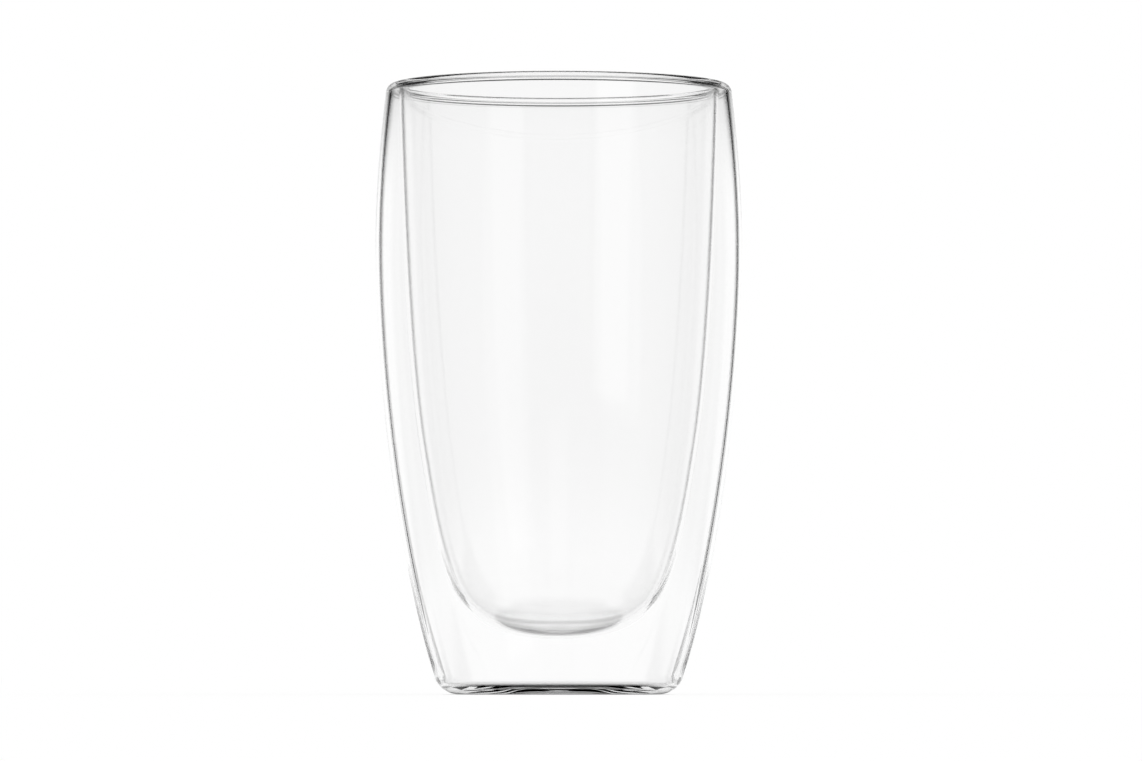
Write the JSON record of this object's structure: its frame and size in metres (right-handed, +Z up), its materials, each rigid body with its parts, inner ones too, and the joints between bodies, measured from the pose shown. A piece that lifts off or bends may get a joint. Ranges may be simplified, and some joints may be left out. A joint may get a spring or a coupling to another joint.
{
  "type": "double walled glass cup",
  "caption": "Tall clear tumbler with a bellied outer wall, a round-bottomed bowl fused to it at the lip, a sealed air space and a flat base.",
  "frame": {"origin": "middle of the base, on the surface that the cup stands on", "axes": "+Z up along the cup's axis, out of its mouth"},
  "size_m": [0.0884, 0.0884, 0.147],
  "materials": {
    "clear_glass": "fire polished, clear"
  },
  "bodies": {
    "root": {"outer_wall": "clear_glass", "inner_wall": "clear_glass", "rim_bead": "clear_glass", "vent_seal": "clear_glass"}
  },
  "joints": []
}
